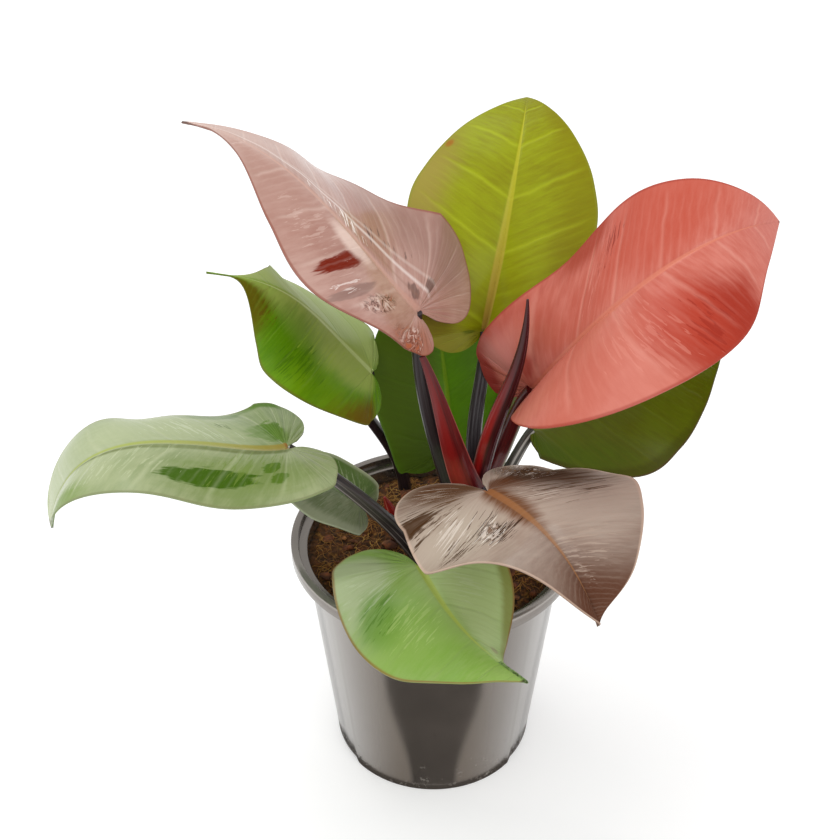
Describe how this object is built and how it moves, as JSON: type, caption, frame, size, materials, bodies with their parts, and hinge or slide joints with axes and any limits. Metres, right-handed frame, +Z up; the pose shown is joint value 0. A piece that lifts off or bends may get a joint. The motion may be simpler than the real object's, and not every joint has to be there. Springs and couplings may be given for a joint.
{
  "type": "potted plant",
  "caption": "Potted aroid house plant: broad heart-shaped leaves in pink, chartreuse and green on tall dark stalks, growing from potting mix in a round dark nursery pot.",
  "frame": {"origin": "middle of the underside of the pot, on the surface that it stands on", "axes": "+Z up along the pot axis; -Y towards the side seen in the picture; +X to its right"},
  "size_m": [0.3854, 0.2941, 0.4204],
  "materials": {
    "leaf_bronze_pink": "smooth satin leaf skin with a soft sheen",
    "leaf_chartreuse": "smooth satin leaf skin with a soft sheen",
    "leaf_cherry": "smooth satin leaf skin with a soft sheen",
    "leaf_green": "smooth satin leaf skin with a soft sheen",
    "leaf_pale_green": "smooth satin leaf skin with a soft sheen",
    "leaf_grey_green": "smooth satin leaf skin with a soft sheen",
    "leaf_front_green": "smooth satin leaf skin with a soft sheen",
    "leaf_taupe": "smooth satin leaf skin with a soft sheen",
    "leaf_olive": "smooth satin leaf skin with a soft sheen",
    "leaf_deep_green": "smooth satin leaf skin with a soft sheen",
    "stalk_dark": "smooth glossy stalk skin",
    "stalk_red": "smooth glossy stalk skin",
    "trunk": "smooth glossy stalk skin",
    "new_leaf": "smooth glossy stalk skin",
    "sheath": "smooth glossy stalk skin",
    "bud": "smooth glossy stalk skin",
    "potting_mix": "rough, loose coir fibre and bark",
    "pot_plastic": "smooth moulded plastic with fine scuffs"
  },
  "bodies": {
    "root": {"leaf_top_left": "leaf_bronze_pink", "leaf_top_back": "leaf_chartreuse", "leaf_right": "leaf_cherry", "leaf_left": "leaf_green", "leaf_low_left": "leaf_pale_green", "leaf_small_left": "leaf_grey_green", "leaf_front": "leaf_front_green", "leaf_front_right": "leaf_taupe", "leaf_back_right": "leaf_olive", "leaf_back": "leaf_deep_green", "stalk_top_left": "stalk_dark", "stalk_top_back": "stalk_dark", "stalk_right": "stalk_red", "stalk_left": "stalk_dark", "stalk_low_left": "stalk_dark", "stalk_small_left": "stalk_dark", "stalk_front": "stalk_dark", "stalk_front_right": "stalk_dark", "stalk_back_right": "stalk_dark", "stalk_back": "stalk_dark", "trunk": "trunk", "new_leaf": "new_leaf", "red_sheath": "sheath", "bud": "bud", "potting_mix": "potting_mix", "pot": "pot_plastic"}
  },
  "joints": []
}
